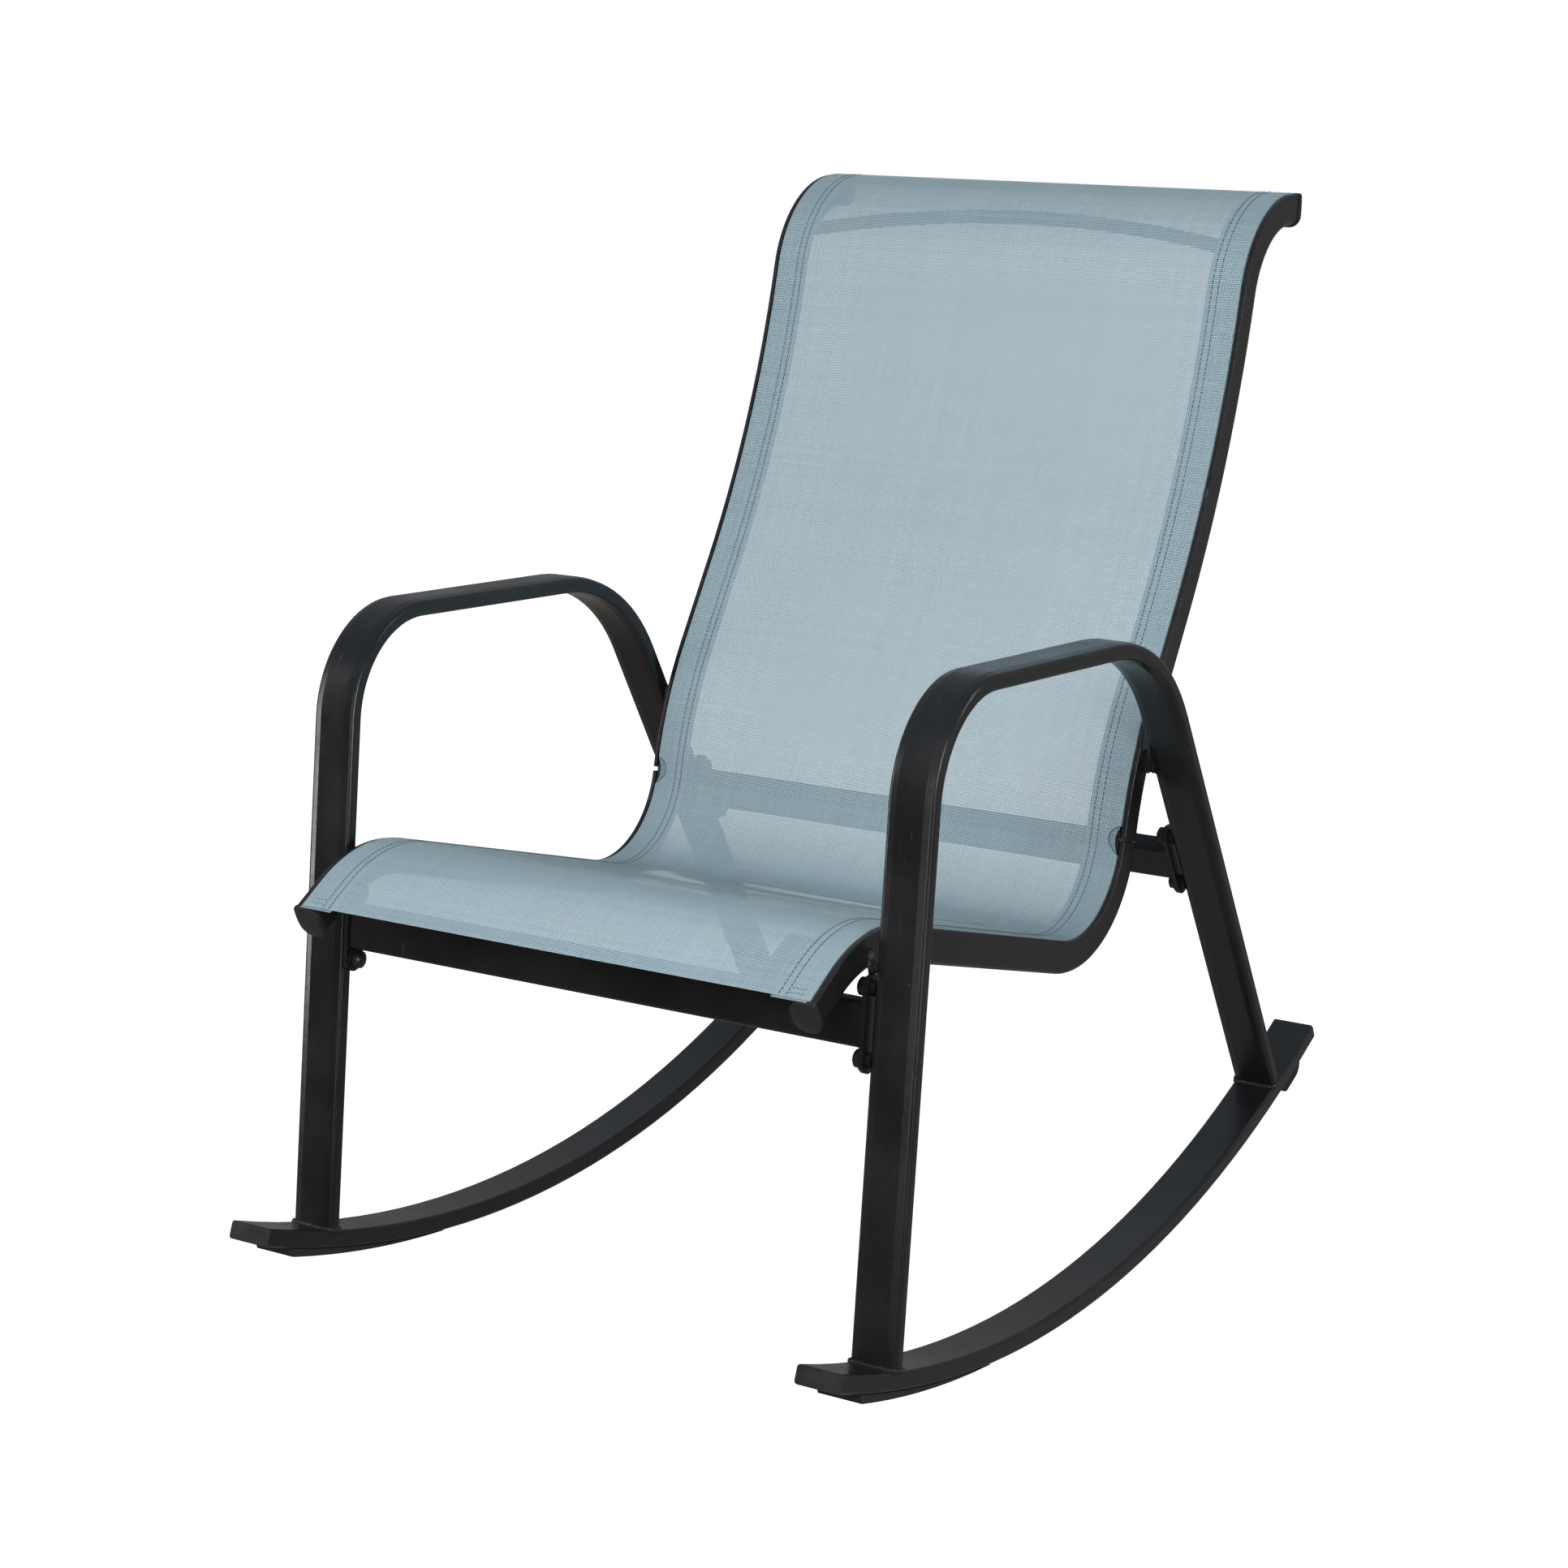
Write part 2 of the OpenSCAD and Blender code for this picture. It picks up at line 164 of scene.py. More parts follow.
def coat(name, base, light, rough, grain=0.35, grain_scale=900.0, specks=0.5, ior=1.5):
    """Powder coat between two tones: orange peel, uneven gloss, dust specks and faint scuffs."""
    mat, t, bsdf = new_mat(name)
    pos = object_coords(t)
    peel = noise_tex(t, pos, grain_scale)
    swell = noise_tex(t, pos, 160.0)
    cloud = noise_tex(t, pos, 11.0, 5.0, 0.6)
    # one cell in five holds a speck, under a millimetre wide
    cell = put(t, "ShaderNodeTexVoronoi", None, {"Vector": pos, "Scale": 75.0})
    pick = put(t, "ShaderNodeSeparateColor", None, {0: cell.outputs["Color"]})
    speck = calc(t, "MULTIPLY", remap(t, cell.outputs["Distance"], 0.022, 0.036, 1.0, 0.0),
                 calc(t, "GREATER_THAN", pick.outputs[0], 0.80))
    # thin scuffs, in some zones only
    streak = noise_tex(t, vec_calc(t, "MULTIPLY", {0: pos, 1: SCUFF_STRETCH}).outputs[0], 1.0, 1.0)
    zone = noise_tex(t, pos, 17.0, 3.0)
    mark = calc(t, "MULTIPLY", remap(t, streak, 0.68, 0.74), remap(t, zone, 0.55, 0.68))
    col = mix_colour(t, remap(t, cloud, 0.35, 0.7), rgba(base), rgba(light))
    col = mix_colour(t, calc(t, "MULTIPLY", mark, 0.175), col, rgba(SCUFF))
    col = mix_colour(t, calc(t, "MULTIPLY", speck, specks), col, rgba(DUST))
    t.links.new(col, bsdf.inputs["Base Color"])
    gloss = remap(t, cloud, 0.3, 0.7, rough - 0.05, rough + 0.06)
    t.links.new(calc(t, "ADD", gloss, calc(t, "MULTIPLY", mark, 0.12)), bsdf.inputs["Roughness"])
    bsdf.inputs["IOR"].default_value = ior
    high = calc(t, "ADD", calc(t, "MULTIPLY", peel, 0.45), calc(t, "MULTIPLY", swell, 0.8))
    set_bump(t, bsdf, calc(t, "ADD", high, calc(t, "MULTIPLY", speck, 0.8)), grain)
    return mat


def plastic(name, base, light, rough, grain, scale):
    """Moulded plastic, rubber or thread between two tones: cloudy tone and gloss, and a fine grain."""
    mat, t, bsdf = new_mat(name)
    pos = object_coords(t)
    cloud = noise_tex(t, pos, 40.0, 4.0, 0.6)
    t.links.new(mix_colour(t, remap(t, cloud, 0.35, 0.7), rgba(base), rgba(light)), bsdf.inputs["Base Color"])
    t.links.new(remap(t, cloud, 0.3, 0.7, rough - 0.05, rough + 0.07), bsdf.inputs["Roughness"])
    set_bump(t, bsdf, noise_tex(t, pos, scale, 3.0), grain)
    return mat


PITCH = 0.00165                               # metres from thread to thread
ROWS = (0.2200, 0.2264)                       # the two rows of stitches, metres from the sling's middle
LIT, PALE = (0.208, 0.276, 0.307), (0.262, 0.334, 0.360)      # tones of single threads
PATCH, PAINTED_SHADE = (0.226, 0.307, 0.342), (0.045, 0.085, 0.120)    # larger patches, and painted shade between the threads
HOLE = (0.55, 0.66)                           # a corner is open below this much of a thread's crown


def mesh_cloth(name, tint=1.0, rows=True):
    """Vinyl-coated mesh: a plain weave of two sets of threads with small open corners, on the flat sheet."""
    mat, t, bsdf = new_mat(name)
    flat = put(t, "ShaderNodeUVMap", {"uv_map": "flat"}).outputs[0]
    wobble = put(t, "ShaderNodeTexNoise", None, {"Vector": flat, "Scale": 55.0, "Detail": 2.0})
    place = vec_calc(t, "MULTIPLY_ADD",
                     {0: wobble.outputs["Color"], 1: (0.0006, 0.0006, 0), 2: flat}).outputs[0]
    # each thread's crown, and which set lies on top
    axes = split(t, place)
    rate = math.pi / PITCH
    wave_x = calc(t, "SINE", calc(t, "MULTIPLY", axes[0], rate))
    wave_y = calc(t, "SINE", calc(t, "MULTIPLY", axes[1], rate))
    over = calc(t, "GREATER_THAN", calc(t, "MULTIPLY", wave_x, wave_y), 0.0)
    crown_x, crown_y = calc(t, "ABSOLUTE", wave_x), calc(t, "ABSOLUTE", wave_y)
    warp = calc(t, "MULTIPLY", calc(t, "POWER", crown_x, 0.7), calc(t, "MULTIPLY_ADD", crown_y, 0.45, 0.55))
    weft = calc(t, "MULTIPLY", calc(t, "POWER", crown_y, 0.7), calc(t, "MULTIPLY_ADD", crown_x, 0.45, 0.55))
    high = mix_value(t, over, weft, warp)
    hole = calc(t, "MULTIPLY", remap(t, crown_x, *HOLE, 1.0, 0.0), remap(t, crown_y, *HOLE, 1.0, 0.0))
    # tone of single threads, and of larger patches
    lanes = vec_calc(t, "SCALE", {0: place, "Scale": 1 / PITCH}).outputs[0]
    cell = split(t, vec_calc(t, "FLOOR", {0: lanes}).outputs[0])
    tone_x, tone_y = (put(t, "ShaderNodeTexWhiteNoise", {"noise_dimensions": "1D"}, {"W": seed}).outputs[0]
                      for seed in (cell[0], calc(t, "ADD", cell[1], 0.5)))
    patch = noise_tex(t, flat, 14.0, 4.0, 0.55)
    # deep is the painted shade tone, used between the threads and along the seams' lines
    deep = rgba(PAINTED_SHADE, tint)
    col = mix_colour(t, mix_value(t, over, tone_y, tone_x), rgba(LIT, tint), rgba(PALE, tint))
    col = mix_colour(t, remap(t, patch, 0.3, 0.75, 0.0, 0.35), col, rgba(PATCH, tint))
    # painted shade: the colour darkens towards the shade tone where the threads dip between their crowns
    col = mix_colour(t, remap(t, high, 0.25, 0.75, 1.0, 0.0), col, deep)
    if rows:
        # the seams press two narrow lines into the cloth: a dent in the bump, and painted shade that darkens
        # the colour along them
        side = calc(t, "ABSOLUTE", split(t, flat)[0])
        off_rows = [calc(t, "ABSOLUTE", calc(t, "SUBTRACT", side, row)) for row in ROWS]
        seam_dent_and_shade = calc(t, "MAXIMUM", *(remap(t, off, 0.0003, 0.0012, 1.0, 0.0) for off in off_rows))
        # painted shade along the seams' pressed lines
        col = mix_colour(t, calc(t, "MULTIPLY", seam_dent_and_shade, 0.22), col, deep)
        high = calc(t, "SUBTRACT", high, calc(t, "MULTIPLY", seam_dent_and_shade, 0.8))
    t.links.new(col, bsdf.inputs["Base Color"])
    t.links.new(remap(t, patch, 0.3, 0.7, 0.46, 0.58), bsdf.inputs["Roughness"])
    t.links.new(calc(t, "SUBTRACT", 1.0, hole), bsdf.inputs["Alpha"])
    set_bump(t, bsdf, high, 0.7, 0.0004)
    return mat


MATS = {
    "powder": coat("powder_coat_black", (0.0052, 0.0055, 0.0060), (0.0085, 0.0088, 0.0092), 0.26, ior=1.46),
    "rail": coat("rail_coat_black", (0.0065, 0.0066, 0.007), (0.0115, 0.0115, 0.0118), 0.33, grain=0.45,
                 ior=1.46),
    "weld": coat("weld_coat_black", (0.007, 0.0072, 0.0076), (0.014, 0.014, 0.014), 0.26, grain=0.8,
                 grain_scale=700.0, specks=0.8),
    "bolt": coat("bolt_black", (0.007, 0.0072, 0.0076), (0.012, 0.012, 0.0125), 0.30, grain=0.3, specks=0.8),
    "endcap": plastic("rocker_end_black", (0.008, 0.008, 0.0084), (0.013, 0.013, 0.0134), 0.40, 0.35, 1400.0),
    "cap": plastic("cap_plastic_black", (0.009, 0.0092, 0.0096), (0.015, 0.015, 0.0155), 0.42, 0.4, 1500.0),
    "rubber": plastic("pad_rubber_black", (0.008, 0.008, 0.0082), (0.015, 0.015, 0.015), 0.66, 0.7, 900.0),
    "cord": plastic("spline_dark_grey", (0.012, 0.015, 0.018), (0.020, 0.024, 0.028), 0.5, 0.4, 1500.0),
    "cloth": mesh_cloth("sling_mesh_blue"),
    # the hem is the same cloth, darkened by tint 0.80 as painted shade for lying under the sheet
    "hem": mesh_cloth("sling_hem_blue_painted_shade", tint=0.80, rows=False),
    "thread": plastic("seam_thread_navy", (0.020, 0.035, 0.055), (0.045, 0.07, 0.10), 0.6, 0.8, 4000.0),
    "roll": plastic("hem_roll_blue", (0.030, 0.055, 0.080), (0.060, 0.095, 0.130), 0.5, 0.6, 2500.0),
}
# finish of each CAD node by the start of its name; the first that fits counts
FINISH = [("arm_frame", "powder"), ("rocker_cap", "endcap"), ("rocker", "powder"), ("front_pad", "rubber"),
          ("rear_stop", "rubber"), ("seat_rail_cap", "cap"), ("back_rail_cap", "cap"), ("rail_joiner", "cap"),
          ("seat_rail", "rail"), ("back_rail", "rail"), ("spline", "cord"), ("front_bar", "powder"),
          ("rear_bar", "powder"), ("front_plate", "powder"), ("rear_plate", "powder"), ("plate_", "bolt"),
          ("top_spreader", "rail"), ("foot_welds", "weld"), ("rail_welds", "weld"), ("sling", "cloth")]
for node_name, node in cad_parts.items():
    finish = next(key for start, key in FINISH if node_name.startswith(start))
    for material_slot in node.material_slots:
        material_slot.material = MATS[finish]


# ---------------------------------------------------------------- the rails' line
def part_length(radius, extent):
    return extent if radius == 0 else radius * math.radians(abs(extent))


def along(s):
    """Centre line of a side rail at arc length s: y, z and angle from the vertical."""
    y, z, degrees = RAIL_START
    angle = math.radians(degrees)
    for i, (radius, extent) in enumerate(RAIL_PATH):
        d = s if i == len(RAIL_PATH) - 1 else min(s, part_length(radius, extent))
        if radius == 0:
            y += d * math.sin(angle)
            z += d * math.cos(angle)
        else:
            sign = math.copysign(1, extent)
            turned = angle + sign * d / radius
            y += sign * radius * (math.cos(angle) - math.cos(turned))
            z += sign * radius * (math.sin(turned) - math.sin(angle))
            angle = turned
        s -= d
        if s <= 1e-9:
            break
    return y, z, angle


LENGTH = sum(part_length(*part) for part in RAIL_PATH)
# middle of the gap between the seat rail and the back rail
GAP_S = sum(part_length(*part) for part in RAIL_PATH[:SEAT_RAIL_PARTS]) + 1.5

# ---------------------------------------------------------------- the sling's shape
BEND_X = 246.85                               # where the cloth turns down into the rail's slot
CLOTH = 0.3                                   # thickness of one layer
LIFT_TOP, LIFT_HEM = 0.85, 0.35               # middle of each layer above the rail's front
FOLD = math.radians(86)                       # how far it turns
TURN = 0.3                                    # radius left inside the fold
FLAT_END = BEND_X + (TURN + LIFT_TOP) * FOLD  # half width up to the end of the fold
HALF_FLAT = FLAT_END + 2.4                    # and with what goes down into the slot
HEM_IN = 215.0                                # inner edge of the hem
S_TOP = LENGTH - 0.3                          # end of the cloth at the top curl
NOTCH_UP, NOTCH_DOWN, NOTCH_DEEP = 11.0, 17.0, 11.5   # notch at the rails' gap: reach along s, and depth
SQUEEZE_FROM = 225                            # beyond this the grid narrows to make room for the notch
SAG_HALF = 222.0                              # the cloth is free of the rails inside this half width
# how far the cloth stands off the rails' plane: amount (+ is away from the sitter), middle and reach along s
SAGS = ((3.0, 270, 130.0), (2.0, 860, 200.0), (-7.0, 520, 85.0))   # seat, back, corner between them


def fullness(s, w):
    """How far the stretched cloth stands off the rails' plane between them; + is away from the sitter."""
    share = max(0.0, 1 - (w / SAG_HALF) ** 2)
    return share * sum(amount * math.exp(-((s - middle) / reach) ** 2) for amount, middle, reach in SAGS)


def cloth_at(w, s, lift):
    """Point of the cloth, w across and s along the flat sheet, at the middle of a layer; metres."""
    a, sign = abs(w), (1 if w >= 0 else -1)
    if a <= BEND_X:
        x, off = a, -(RAIL_HALF + lift) + fullness(s, w)
    else:
        r = TURN + lift
        phi = min((a - BEND_X) / r, FOLD)
        down = max(0.0, a - BEND_X - r * FOLD)
        x = BEND_X + r * math.sin(phi) + down * math.cos(FOLD)
        off = TURN - RAIL_HALF - r * math.cos(phi) + down * math.sin(FOLD)
    y, z, angle = along(s)
    return posed(sign * x, y + off * math.cos(angle), z - off * math.sin(angle))


def edge_at(s, share=1.0):
    """Half width of the cloth at s: all of it, or less in the notch, which is round above and slants below.

    share is how much of the notch's depth is cut out of this layer.
    """
    d = s - GAP_S
    if not -NOTCH_DOWN < d < NOTCH_UP:
        return HALF_FLAT
    if d >= 0:
        deep = math.sqrt(1 - (d / NOTCH_UP) ** 2)
    else:
        deep = math.cos(d / NOTCH_DOWN * math.pi / 2) ** 0.9
    return min(HALF_FLAT, FLAT_END + 0.6 - NOTCH_DEEP * share * deep)


# ---------------------------------------------------------------- mesh helpers
def steps(a, b, step):
    """Even values from a to b, about a step apart."""
    n = max(1, round((b - a) / step))
    return [a + (b - a) * i / n for i in range(n + 1)]


def joined(*spans):
    """Values over neighbouring spans (from, to, step), with each shared end once."""
    values = []
    for span in spans:
        values = values[:-1] + steps(*span)
    return values


def link(name, mesh, mat):
    """Makes a smooth piece of the mesh, riding on the chair's one body."""
    mesh.materials.append(MATS[mat])
    for p in mesh.polygons:
        p.use_smooth = True
    o = bpy.data.objects.new(name, mesh)
    scene.collection.objects.link(o)
    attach(o, "root")
    return o


def grid(name, cols, rows, spot, mat, thick):
    """Cloth of cols by rows and a thickness; spot(i, j) gives a point and its place on the flat cloth."""
    verts, flat, faces = [], [], []
    for j in range(rows):
        for i in range(cols):
            p, u, v = spot(i, j)
            verts.append(p)
            flat.append((u / 1000, v / 1000))
    for j in range(rows - 1):
        for i in range(cols - 1):
            a = j * cols + i
            faces.append((a, a + 1, a + cols + 1, a + cols))
    mesh = bpy.data.meshes.new(name)
    mesh.from_pydata(verts, [], faces)
    uv = mesh.uv_layers.new(name="flat")
    for loop in mesh.loops:
        uv.data[loop.index].uv = flat[loop.vertex_index]
    mesh.update()
    o = link(name, mesh, mat)
    mod = o.modifiers.new("thick", "SOLIDIFY")
    mod.thickness = thick / 1000
    mod.offset = 0
    return o


def ring_faces(count, sides, closed=False):
    """Faces over count rings of points: the wall, and both ends unless the rings close into a loop."""
    faces = []
    for i in range(count if closed else count - 1):
        j = (i + 1) % count
        for k in range(sides):
            m = (k + 1) % sides
            faces.append((i * sides + k, i * sides + m, j * sides + m, j * sides + k))
    if not closed:
        faces.append(tuple(reversed(range(sides))))
        faces.append(tuple((count - 1) * sides + k for k in range(sides)))
    return faces


def tube(points, radius, sides=8, ripple=0.0, pitch=2.4, seed=0.0, closed=False):
    """Round bead along points, in millimetres; ripple swells it every pitch and roughens it."""
    pts = [Vector(p) for p in points]
    n = len(pts)
    verts = []
    aside = Vector((0.13, 0.31, 0.94))        # any direction that the bead never takes
    travelled = 0.0
    for i, p in enumerate(pts):
        a, b = (pts[i - 1], pts[(i + 1) % n]) if closed else (pts[max(0, i - 1)], pts[min(n - 1, i + 1)])
        t = (b - a).normalized()
        u = t.cross(aside).normalized()
        v = t.cross(u)
        if i:
            travelled += (p - pts[i - 1]).length
        r = radius * (1 + ripple * math.sin(2 * math.pi * travelled / pitch))
        if not closed and i in (0, n - 1):
            r *= 0.45                         # rounds off an open end
        for k in range(sides):
            ang = 2 * math.pi * k / sides
            d = u * math.cos(ang) + v * math.sin(ang)
            rough = r
            if ripple:
                rough += radius * 0.35 * noise.noise(p * 0.55 + d * 0.6 + Vector((seed, seed * 0.7, 0)))
            verts.append(p + d * rough)
    return verts, ring_faces(n, sides, closed)


def assemble(name, parts, mat, world=False):
    """One piece of many (verts, faces); world says that the points are finished ones, in metres."""
    verts, faces = [], []
    for part_verts, part_faces in parts:
        first = len(verts)
        verts += [p if world else posed(*p) for p in part_verts]
        faces += [tuple(i + first for i in face) for face in part_faces]
    mesh = bpy.data.meshes.new(name)
    mesh.from_pydata(verts, [], faces)
    mesh.update()
    return link(name, mesh, mat)


# ---------------------------------------------------------------- the sling and its hems
COARSE, FINE = 3.2, 0.7                       # rows of the grid, close together round the notch
NOTCH_LOW, NOTCH_HIGH = GAP_S - NOTCH_DOWN - 2, GAP_S + NOTCH_UP + 2
stations = joined((0, NOTCH_LOW, COARSE), (NOTCH_LOW, NOTCH_HIGH, FINE), (NOTCH_HIGH, S_TOP, COARSE))
half_across = joined((0, 200, 12.5), (200, BEND_X, 4.5), (BEND_X, FLAT_END, 0.35), (FLAT_END, HALF_FLAT, 0.5))
across = [-w for w in reversed(half_across[1:])] + half_across


def sheet_spot(i, j):
    s, w = stations[j], across[i]
    a, limit = abs(w), edge_at(s)
    if a > SQUEEZE_FROM and limit < HALF_FLAT:
        a = SQUEEZE_FROM + (a - SQUEEZE_FROM) * (limit - SQUEEZE_FROM) / (HALF_FLAT - SQUEEZE_FROM)
    w = math.copysign(a, w)
    return cloth_at(w, s, LIFT_TOP), w, s


sling = grid("sling_sheet", len(across), len(stations), sheet_spot, "cloth", CLOTH)
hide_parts("sling")

# the hem is folded under each side edge; at the front it shows as a short tab that stands up a little
TAB = 3.2
HEM_NOTCH = 0.40                              # the notch is this share as deep in the hem, which shows in it
hem_stations = steps(-TAB, 0, 0.8)[:-1] + stations
hem_across = joined((HEM_IN, BEND_X, 3.7), (BEND_X, FLAT_END - 1.4, 0.4))


def hem_spot(i, j, side):
    s, w = hem_stations[j], hem_across[i]
    limit = edge_at(s + 1.2, HEM_NOTCH) - 0.5
    if limit < hem_across[-1]:
        w = HEM_IN + (w - HEM_IN) * (limit - HEM_IN) / (hem_across[-1] - HEM_IN)
    lift = LIFT_HEM + (1.1 * min(1.0, -s / 1.6) if s < 0 else 0)
    return cloth_at(side * w, s, lift), side * w, s + 0.6


hems = [grid("sling_hem_" + tag, len(hem_across), len(hem_stations),
             lambda i, j, side=side: hem_spot(i, j, side), "hem", CLOTH * 0.95) for tag, side in SIDES]

# ---------------------------------------------------------------- seams and notch rims
THREAD_R = 0.27
STITCH_SHAPE = ((-0.15, 0.5), (0.18, 1.0), (0.25, 1.0), (0.18, 1.0), (-0.15, 0.5))   # height, share of radius
STITCH_LONG, STITCH_PITCH = 3.5, 4.5          # stitches of the two long rows
TACK_LONG, TACK_PITCH = 2.6, 3.4              # and of two short rows across the hem's front end
TACK_ROWS, TACK_FROM, TACK_TO = (4.6, 9.8), 228.0, 244
RIM_R = 0.50


def stitch(w0, s0, w1, s1):
    """One thread between two needle holes: low at its ends, proud in the middle."""
    lift = LIFT_TOP + CLOTH / 2
    rings = []
    for k, (height, share) in enumerate(STITCH_SHAPE):
        f = k / (len(STITCH_SHAPE) - 1)
        rings.append((cloth_at(w0 + (w1 - w0) * f, s0 + (s1 - s0) * f, lift + height), share * THREAD_R / 1000))
    t = (rings[-1][0] - rings[0][0]).normalized()
    u = t.cross(Vector((0.2, 0.5, 0.84))).normalized()
    v = t.cross(u)
    verts = []
    for p, r in rings:
        for k in range(6):
            a = math.pi * k / 3
            verts.append(p + (u * math.cos(a) + v * math.sin(a)) * r)
    return verts, ring_faces(len(rings), 6)


for tag, side in SIDES:
    parts = []
    for row in ROWS:
        s = 1.5
        while s + STITCH_LONG + 0.1 < S_TOP:
            w = row * 1000 + 0.25 * noise.noise(Vector((s * 0.05, row * 900, side)))
            parts.append(stitch(side * w, s, side * w, s + STITCH_LONG))
            s += STITCH_PITCH
    for s in TACK_ROWS:
        w = TACK_FROM
        while w + TACK_LONG < TACK_TO:
            parts.append(stitch(side * w, s, side * (w + TACK_LONG), s + 0.2))
            w += TACK_PITCH
    assemble("sling_seam_" + tag, parts, "thread", world=True)

# places along s: even ones on the notch's slant below the gap, and even turns of its round part above it
rim_stations = (steps(GAP_S - NOTCH_DOWN + 0.2, GAP_S, 1.0)[:-1]
                + [GAP_S + NOTCH_UP * math.sin(math.pi / 26 * k) for k in range(13)])
for tag, side in SIDES:
    arc = [cloth_at(side * min(edge_at(s), FLAT_END), s, LIFT_TOP + 0.05) * 1000 for s in rim_stations]
    verts, faces = tube(arc, RIM_R, 8)
    assemble("notch_rim_" + tag, [([p / 1000 for p in verts], faces)], "roll",
                         world=True)

# ---------------------------------------------------------------- welds
LEG_CORNER = 4.0                              # radius of the tube's corners
BEAD_STEP = 0.7
# rail to leg: y, z and tilt of each weld, half height along y and z
RAIL_WELDS = ((-305.9, 389.0, math.radians(LEG_LEAN)), (187.0, 445.0, math.radians(-4)))
WELD_HALF_Y, WELD_HALF_Z = 4.6, 9.5


def leg_point(foot, lean, forth, up_leg):
    """y and z of a point forth of a leg's axis and up_leg along it from its foot point."""
    sn, cs = math.sin(lean), math.cos(lean)
    return foot + forth * cs + up_leg * sn, -forth * sn + up_leg * cs


def leg_ring(foot, lean, side, grow):
    """Points where a leg's outline, grown outwards, meets the rocker's top."""
    half_w, half_t, r = TUBE_W / 2 - 0.4 + grow * 0.2, TUBE_T / 2 + grow, LEG_CORNER
    outline = []
    for cx, cy, from_angle in ((half_w - r, half_t - r, 0), (r - half_w, half_t - r, 90),
                               (r - half_w, r - half_t, 180), (half_w - r, r - half_t, 270)):
        for k in range(5):
            a = math.radians(from_angle + 22.5 * k)
            outline.append((cx + r * math.cos(a), cy + r * math.sin(a)))
    pts = []
    top = ROCK_R - TUBE_T
    n = len(outline)
    for i in range(n):
        (x0, t0), (x1, t1) = outline[i], outline[(i + 1) % n]
        count = max(1, int(math.hypot(x1 - x0, t1 - t0) / BEAD_STEP))
        for k in range(count):
            across_leg, forth = x0 + (x1 - x0) * k / count, t0 + (t1 - t0) * k / count
            low, high = -60.0, 200.0          # halved 40 times round the place where the leg meets the arc
            for _ in range(40):
                mid = (low + high) / 2
                y, z = leg_point(foot, lean, forth, mid)
                if math.hypot(y, z - ROCK_R) > top:
                    low = mid
                else:
                    high = mid
            y, z = leg_point(foot, lean, forth, low)
            pts.append((side * (LEG_X + across_leg), y, z + 0.3))
    return pts


def lump(x0, x1, y, z, tilt, seed):
    """Rough weld metal between a rail and a leg: an oval stub that flares at both ends."""
    verts, faces = [], []
    rings, sides = 16, 44
    c, sn = math.cos(tilt), math.sin(tilt)
    for i in range(rings + 1):
        f = i / rings
        x = x0 + (x1 - x0) * f
        flare = 1 + 0.20 * abs(2 * f - 1) ** 2
        for k in range(sides):
            a = 2 * math.pi * k / sides
            dy, dz = WELD_HALF_Y * math.cos(a) * flare, WELD_HALF_Z * math.sin(a) * flare
            q = Vector((x * 0.30, dy * 0.30 + seed, dz * 0.30))
            rough = 1 + 0.20 * noise.noise(q) + 0.10 * noise.noise(q * 2.7) + 0.04 * math.sin(a * 9 + i * 0.8)
            dy, dz = dy * rough, dz * rough
            verts.append((x, y + dy * c + dz * sn, z - dy * sn + dz * c))
    for i in range(rings):
        for k in range(sides):
            a, b = i * sides + k, i * sides + (k + 1) % sides
            faces.append((a, a + sides, b + sides, b))
    faces += [tuple(range(sides)), tuple(reversed([rings * sides + k for k in range(sides)]))]
    return verts, faces


LEGS = ((-LEG_Y0, math.radians(LEG_LEAN)), (REAR_Y0, -math.radians(REAR_LEAN)))
for tag, side in SIDES:
    parts = []
    for seed, (foot, lean) in enumerate(LEGS):
        # a thick bead, and a thinner one outside it
        parts.append(tube(leg_ring(foot, lean, side, 0.4), 2.3, 10, 0.16, 2.6, seed * 5 + side, closed=True))
        parts.append(tube(leg_ring(foot, lean, side, 1.4)[::2], 1.5, 8, 0.22, 3.4, seed * 7 + side + 3,
                          closed=True))
    bead = assemble("foot_bead_" + tag, parts, "weld")
    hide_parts("foot_welds_" + tag)
    parts = []
    for seed, (y, z, tilt) in enumerate(RAIL_WELDS):
        verts, faces = lump(RAIL_OUT - 0.6, LEG_IN + 0.3, y, z, tilt, seed * 3 + side)
        if side < 0:
            verts = [(-p[0], p[1], p[2]) for p in verts]
            faces = [tuple(reversed(face)) for face in faces]
        parts.append((verts, faces))
    blob = assemble("rail_bead_" + tag, parts, "weld")
    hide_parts("rail_welds_" + tag)

# ---------------------------------------------------------------- studio
# a round floor just under the rockers, which gives out its own white; it doesn't light the chair or show in
# its reflections
FLOOR_R, FLOOR_Z, FLOOR_SIDES = 6.0, -0.0004, 64
floor_mesh = bpy.data.meshes.new("floor")
floor_mesh.from_pydata([(FLOOR_R * math.cos(math.tau * k / FLOOR_SIDES),
                         FLOOR_R * math.sin(math.tau * k / FLOOR_SIDES), FLOOR_Z) for k in range(FLOOR_SIDES)],
                       [], [tuple(range(FLOOR_SIDES))])
floor = bpy.data.objects.new("floor", floor_mesh)
scene.collection.objects.link(floor)
floor_mat, tree, bsdf = new_mat("floor_white")
floor_tone = noise_tex(tree, object_coords(tree), 3.0, 3.0)
tree.links.new(mix_colour(tree, floor_tone, (0.14, 0.14, 0.14, 1), (0.17, 0.17, 0.17, 1)),
               bsdf.inputs["Base Color"])
bsdf.inputs["Roughness"].default_value = 0.9
bsdf.inputs["Specular IOR Level"].default_value = 0.1
bsdf.inputs["Emission Color"].default_value = (1, 1, 1, 1)
bsdf.inputs["Emission Strength"].default_value = 0.97
floor_mesh.materials.append(floor_mat)
floor.visible_diffuse = False
floor.visible_glossy = False

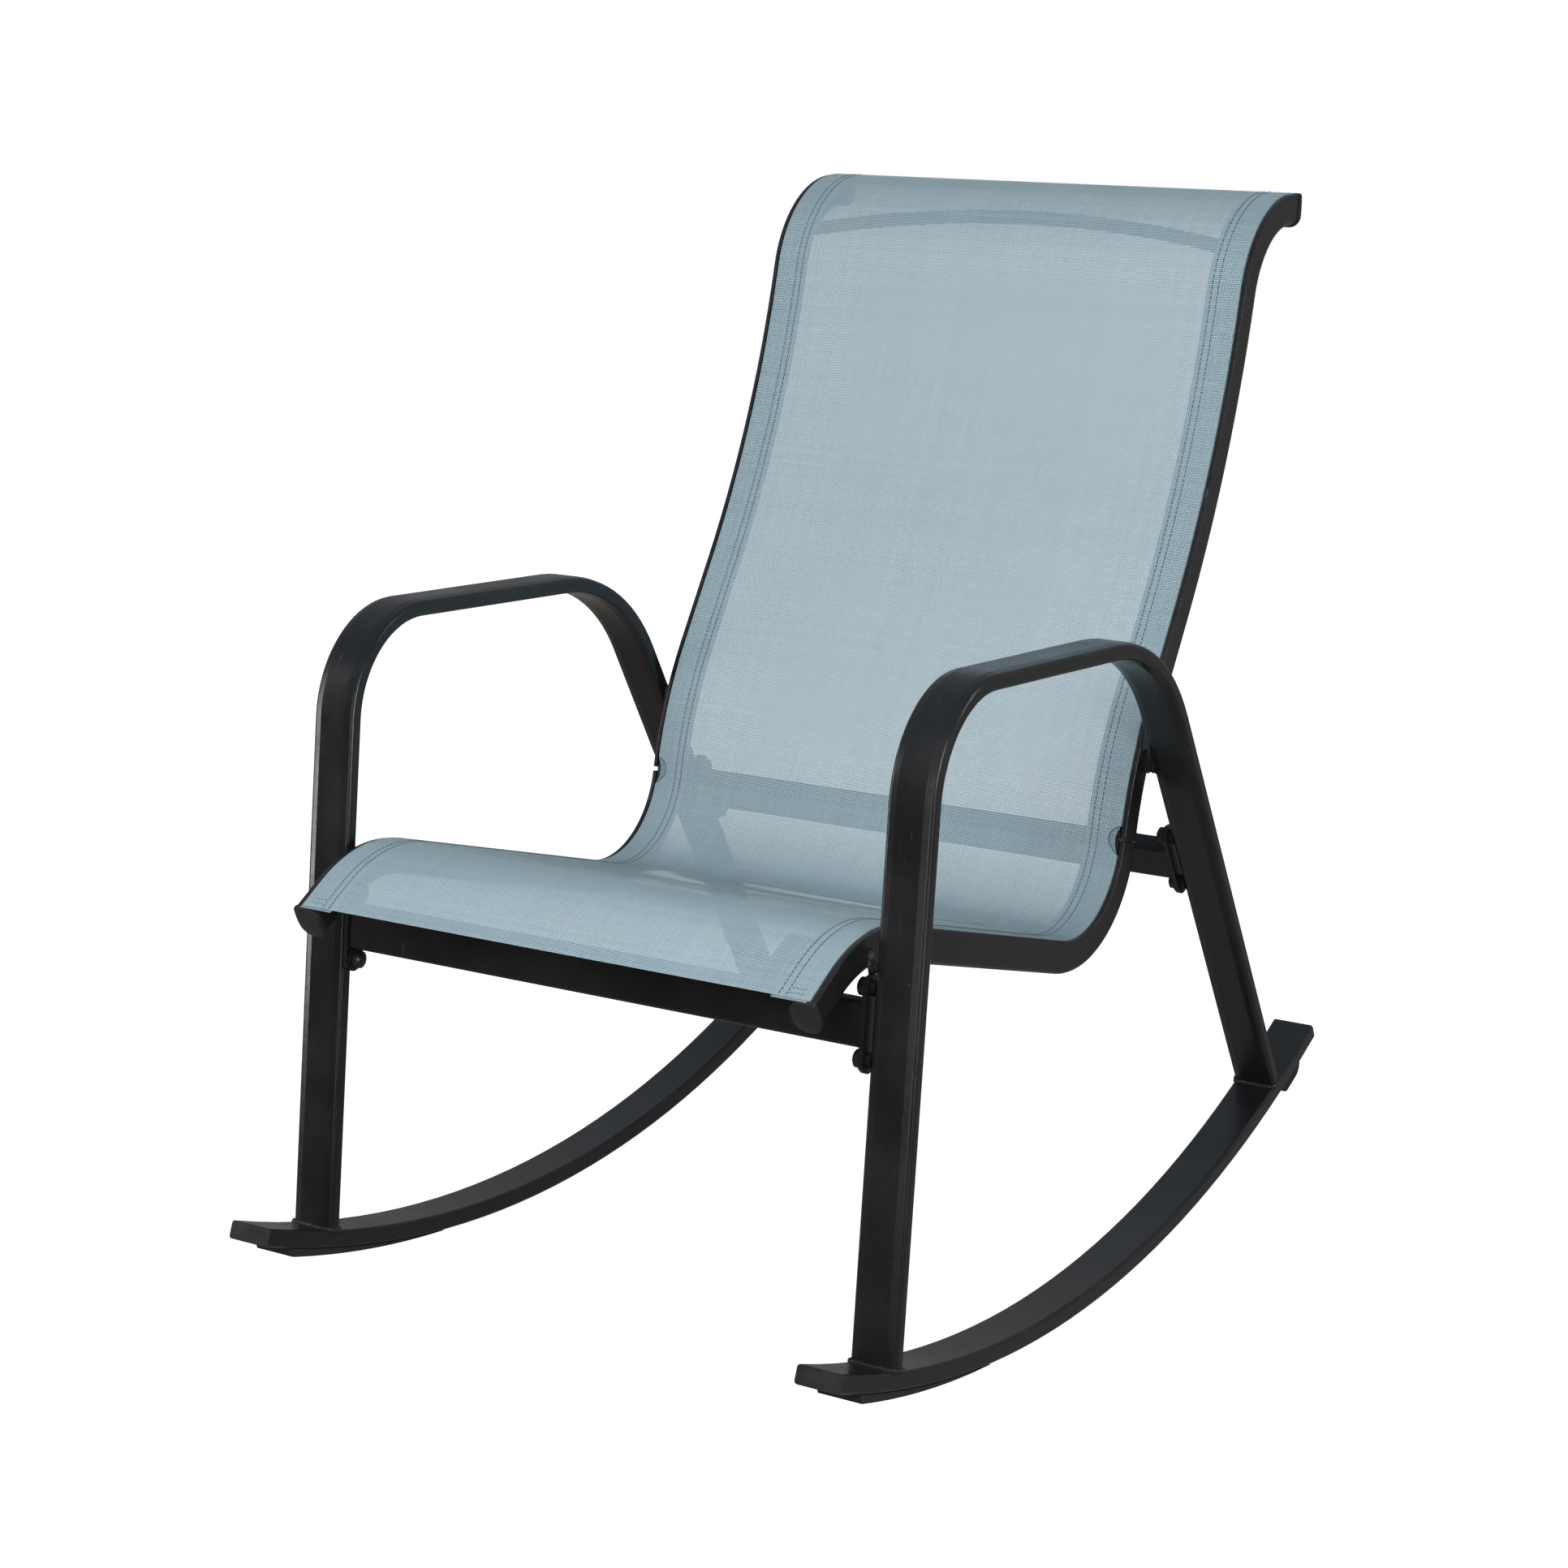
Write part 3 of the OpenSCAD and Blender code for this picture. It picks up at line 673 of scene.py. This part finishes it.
# the world looks white, but lights the chair only dimly: more from behind the chair than from the photo's
# side, cool from above and warm from below
world = bpy.data.worlds.new("studio")
world.use_nodes = True
tree = world.node_tree
for node in list(tree.nodes):
    tree.nodes.remove(node)
direction = put(tree, "ShaderNodeTexCoord").outputs["Generated"]
height = split(tree, direction)[2]
behind = Vector((forward.x, forward.y, 0)).normalized()
toward = vec_calc(tree, "DOT_PRODUCT", {0: direction, 1: tuple(behind)}).outputs["Value"]
above = remap(tree, height, 0.05, 0.75)
below = remap(tree, height, -0.15, -0.80)
glow = mix_value(tree, above, remap(tree, toward, -0.60, 0.85, 0.10, 0.24), 0.30)
glow = mix_value(tree, below, glow, 0.26)
tone = mix_colour(tree, above, (1, 1, 1, 1), (0.82, 0.96, 1.12, 1))
tone = mix_colour(tree, below, tone, (1.0, 0.93, 0.84, 1))
lamp = put(tree, "ShaderNodeBackground", None, {"Color": tone, "Strength": glow})
show = put(tree, "ShaderNodeBackground", None, {"Color": (1, 1, 1, 1), "Strength": 1.0})
seen = put(tree, "ShaderNodeLightPath").outputs["Is Camera Ray"]
shader = put(tree, "ShaderNodeMixShader", None, {0: seen, 1: lamp.outputs[0], 2: show.outputs[0]})
put(tree, "ShaderNodeOutputWorld", None, {0: shader.outputs[0]})
scene.world = world


def softbox(name, at, aim, width, watts, height=None, mirrored=True):
    """Rectangular lamp, unseen itself; mirrored says whether it shows in reflections."""
    data = bpy.data.lights.new(name, "AREA")
    data.shape = "RECTANGLE"
    data.size, data.size_y = width, height or width
    data.energy = watts
    o = bpy.data.objects.new(name, data)
    o.location = at
    o.rotation_euler = (Vector(aim) - Vector(at)).to_track_quat("-Z", "Y").to_euler()
    o.visible_camera = False
    o.visible_glossy = mirrored
    scene.collection.objects.link(o)


# a large key and a fill behind that show in no reflection, and narrow strips that draw the lines on the tubes
softbox("key", (0.5, -2.2, 2.4), (0, 0, 0.5), 2.4, 147, mirrored=False)
softbox("fill_back", (-0.7, 2.5, 1.8), (0, 0.2, 0.6), 2.0, 75, mirrored=False)
softbox("strip_right", (1.7, -0.75, 0.75), (0.2, -0.3, 0.5), 0.10, 13, 1.5)
softbox("strip_back_right", (2.2, 1.4, 1.0), (0, 0, 0.5), 0.14, 7, 1.8)
softbox("strip_left", (-1.7, -1.1, 0.75), (0, -0.3, 0.5), 0.10, 8, 1.5)
softbox("strip_front", (0.45, -2.2, 0.75), (0, -0.3, 0.5), 0.06, 5, 1.5)
